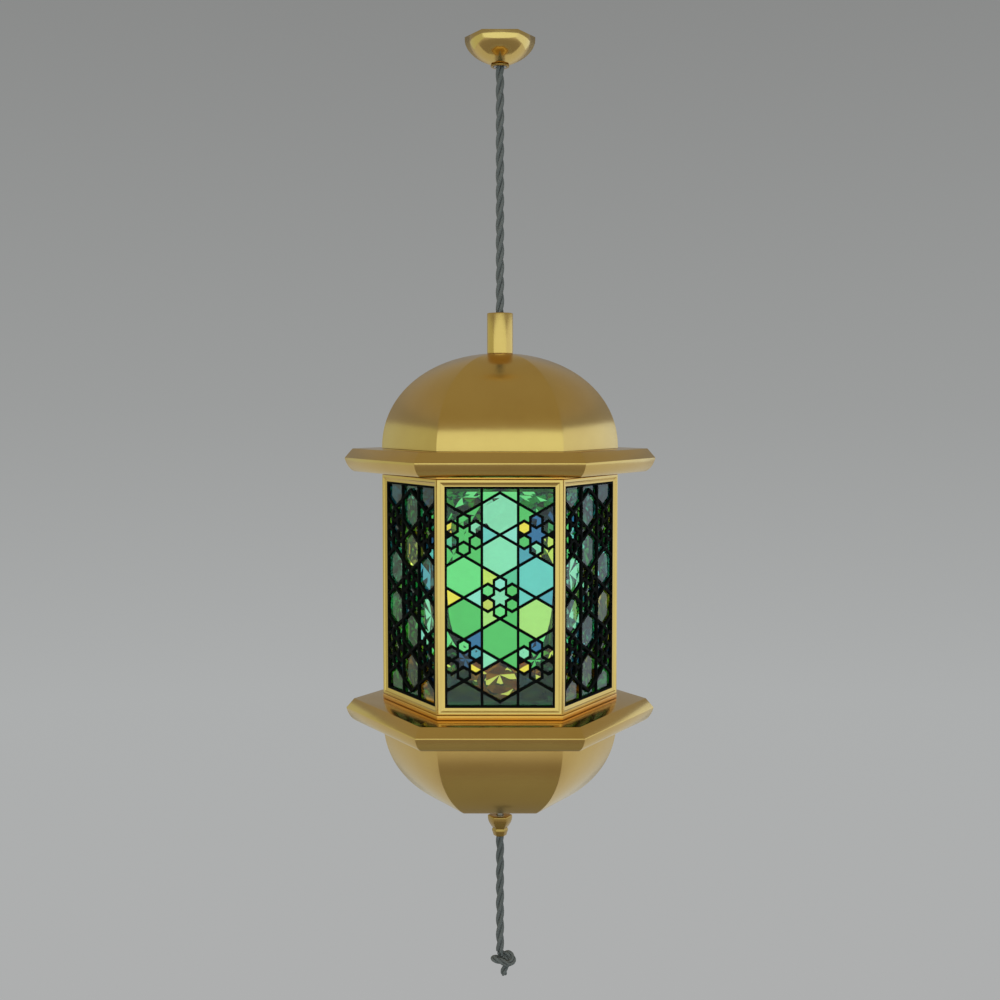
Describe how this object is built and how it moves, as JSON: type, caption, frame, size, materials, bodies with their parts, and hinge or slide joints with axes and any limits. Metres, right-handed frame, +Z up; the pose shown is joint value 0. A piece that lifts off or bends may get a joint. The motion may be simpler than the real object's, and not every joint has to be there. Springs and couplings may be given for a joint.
{
  "type": "stained glass pendant lantern",
  "caption": "Six-sided brass pendant lantern with a ribbed dome and bowl, leaded geometric stained glass panels, a twisted flex and a knotted pull cord.",
  "frame": {"origin": "centre of the ceiling plate's upper face, where it meets the ceiling, on the lantern's upright axis", "axes": "+Z up into the ceiling, -Y out of the front panel towards the viewer, +X to the viewer's right through a corner of the hexagon"},
  "size_m": [0.3052, 0.2644, 0.9245],
  "materials": {
    "brass": "polished, with a soft brown tarnish in the corners",
    "bright_brass": "bright polished",
    "plated_steel": "zinc plated, satin",
    "lead_came": "black patinated lead, dull",
    "stained_glass": "glossy, cut shards in greens, yellow, teal and blue",
    "lamp_glass": "glossy opal white",
    "twisted_textile": "dark grey twisted strands",
    "black_plastic": "moulded, semi-gloss",
    "black_sleeve": "smooth sleeve, dull",
    "white_plastic": "moulded, matt"
  },
  "bodies": {
    "ceiling_mount": {"ceiling_plate": "plated_steel", "hanger_post": "plated_steel", "ceiling_canopy": "bright_brass", "canopy_nut": "bright_brass", "cord_head": "twisted_textile", "terminal_block": "white_plastic"},
    "lantern": {"suspension_cord": "twisted_textile", "cord_tail": "twisted_textile", "cord_grip": "white_plastic", "cord_tube": "bright_brass", "threaded_pipe": "plated_steel", "pipe_nut_upper": "plated_steel", "dome_washer": "plated_steel", "pipe_nut_lower": "plated_steel", "lampholder": "black_plastic", "bulb_cap": "plated_steel", "bulb_globe": "lamp_glass", "dome": "brass", "upper_brim": "brass", "lower_brim": "brass", "upper_ring": "brass", "lower_ring": "brass", "frame_front": "brass", "lattice_front": "lead_came", "pane_front": "stained_glass", "frame_front_right": "brass", "lattice_front_right": "lead_came", "pane_front_right": "stained_glass", "frame_back_right": "brass", "lattice_back_right": "lead_came", "pane_back_right": "stained_glass", "frame_back_left": "brass", "lattice_back_left": "lead_came", "pane_back_left": "stained_glass", "frame_front_left": "brass", "lattice_front_left": "lead_came", "pane_front_left": "stained_glass", "lower_bowl": "brass", "pull_switch": "black_plastic", "switch_stem": "plated_steel", "stem_nut": "brass", "finial": "brass", "switch_cable": "black_sleeve", "hinge_upper_fixed_leaf": "brass", "hinge_upper_pin": "brass", "hinge_lower_fixed_leaf": "brass", "hinge_lower_pin": "brass", "door_magnet": "plated_steel"},
    "door": {"frame_back": "brass", "lattice_back": "lead_came", "pane_back": "stained_glass", "hinge_upper_door_leaf": "brass", "hinge_lower_door_leaf": "brass", "door_knob": "bright_brass"},
    "pull": {"pull_rod": "plated_steel", "pull_cord": "twisted_textile", "pull_knot": "twisted_textile"}
  },
  "joints": [
    {"name": "lantern_swing", "type": "hinge", "parent": "ceiling_mount", "child": "lantern", "pos_m": [0, 0, -0.02836], "axis": [0, 1, 0], "range_deg": [-12, 12]},
    {"name": "door_hinge", "type": "hinge", "parent": "lantern", "child": "door", "pos_m": [-0.05925, 0.10262, -0.52886], "axis": [0, 0, 1], "range_deg": [0, 105]},
    {"name": "pull_slide", "type": "slide", "parent": "lantern", "child": "pull", "axis": [0, 0, -1], "range_m": [0, 0.009], "stiffness_N_per_m": 400, "springref_m": -0.001}
  ]
}
